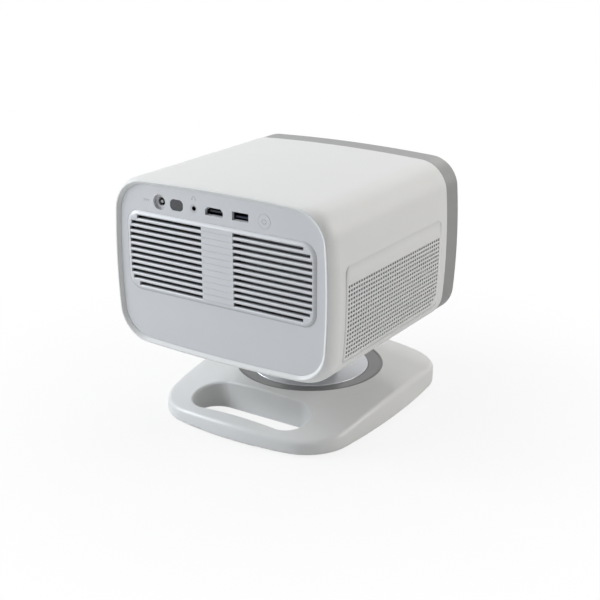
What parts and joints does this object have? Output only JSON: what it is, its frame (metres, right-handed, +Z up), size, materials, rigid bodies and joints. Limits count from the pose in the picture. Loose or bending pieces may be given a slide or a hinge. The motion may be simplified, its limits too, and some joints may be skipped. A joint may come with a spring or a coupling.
{
  "type": "compact projector on a swivelling tilting stand",
  "caption": "Compact home projector: rounded box head with louvred rear vents, sockets and side speaker grilles, on a tilt hinge and turntable over a domed base with a carrying slot.",
  "frame": {"origin": "centre of the bounding box in X and Y, on the table plane that the feet stand on", "axes": "+Z up; the lens looks along -Y and the socket panel faces +Y; X runs across the head"},
  "size_m": [0.1906, 0.2148, 0.1937],
  "materials": {
    "shell_white": "satin white moulded plastic",
    "ring_grey": "satin warm grey",
    "panel_silver": "satin silver grey",
    "louvre_silver": "satin light grey",
    "grille_white": "satin white, perforated",
    "base_white": "satin white moulded plastic",
    "trim_grey": "turned and anodised dark grey",
    "disc_grey": "satin anodised grey",
    "neck_grey": "satin grey",
    "black_plastic": "matt black",
    "front_black": "gloss black",
    "steel": "zinc plated",
    "weight_iron": "plain",
    "brass": "sintered",
    "pom": "natural acetal",
    "rubber": "matt",
    "board_green": "solder mask",
    "aluminium": "plain",
    "copper": "plain",
    "glass": "coated",
    "ir_glass": "infrared window",
    "cone_grey": "coated paper",
    "button_grey": "satin",
    "socket_silver": "satin silver collar, dark bore"
  },
  "bodies": {
    "base": {"base_cover": "base_white", "base_bottom_plate": "black_plastic", "base_weight": "weight_iron", "base_screws": "steel", "foot_pads": "rubber", "turntable_trim": "trim_grey", "swivel_bush": "brass", "thrust_washer": "pom"},
    "turntable": {"turntable_disc": "disc_grey", "swivel_spindle": "steel", "spindle_nut": "steel", "neck": "neck_grey", "neck_screws": "steel", "tilt_pin": "steel", "friction_washers": "pom"},
    "head": {"tilt_bracket": "neck_grey", "bracket_screws": "steel", "head_shell": "shell_white", "side_grille_left": "grille_white", "side_grille_right": "grille_white", "front_ring": "ring_grey", "front_panel": "front_black", "camera_window": "ir_glass", "rear_panel": "panel_silver", "ir_window": "ir_glass", "vent_insert": "louvre_silver", "chassis_tray": "black_plastic", "main_board": "board_green", "board_posts": "brass", "dc_jack": "socket_silver", "audio_jack": "socket_silver", "video_socket": "steel", "data_socket": "steel", "power_switch": "black_plastic", "ir_receiver": "black_plastic", "heat_sink": "aluminium", "heat_pipes": "copper", "led_modules": "black_plastic", "fan_housing": "black_plastic", "optical_housing": "black_plastic", "imaging_board": "board_green", "lens_barrel": "black_plastic", "rear_lens": "glass", "focus_motor": "steel", "focus_camera": "black_plastic", "speaker_box_left": "black_plastic", "speaker_magnet_left": "weight_iron", "speaker_box_right": "black_plastic", "speaker_magnet_right": "weight_iron", "processor_cover": "steel", "wireless_module": "steel", "driver_board": "board_green"},
    "power_button": {"power_button": "button_grey"},
    "fan": {"fan_rotor": "black_plastic"},
    "focus": {"focus_cell": "black_plastic", "front_lens": "glass"},
    "speaker_left": {"speaker_cone_left": "cone_grey"},
    "speaker_right": {"speaker_cone_right": "cone_grey"}
  },
  "joints": [
    {"name": "swivel", "type": "hinge", "parent": "base", "child": "turntable", "pos_m": [0, -0.0134, 0.0256], "axis": [0, 0, 1], "continuous": true},
    {"name": "tilt", "type": "hinge", "parent": "turntable", "child": "head", "pos_m": [0, -0.0134, 0.0561], "axis": [-1, 0, 0], "range_deg": [-15, 20]},
    {"name": "power_press", "type": "slide", "parent": "head", "child": "power_button", "axis": [0, -1, 0], "range_m": [0, 0.0006], "stiffness_N_per_m": 2000, "springref_m": -0.0002},
    {"name": "fan_spin", "type": "hinge", "parent": "head", "child": "fan", "pos_m": [0.044, 0.0786, 0.1384], "axis": [0, 1, 0], "continuous": true},
    {"name": "focus_slide", "type": "slide", "parent": "head", "child": "focus", "axis": [0, 1, 0], "range_m": [-0.0015, 0.0015]},
    {"name": "speaker_left_move", "type": "slide", "parent": "head", "child": "speaker_left", "axis": [1, 0, 0], "range_m": [-0.001, 0.001], "stiffness_N_per_m": 2000},
    {"name": "speaker_right_move", "type": "slide", "parent": "head", "child": "speaker_right", "axis": [-1, 0, 0], "range_m": [-0.001, 0.001], "stiffness_N_per_m": 2000}
  ]
}
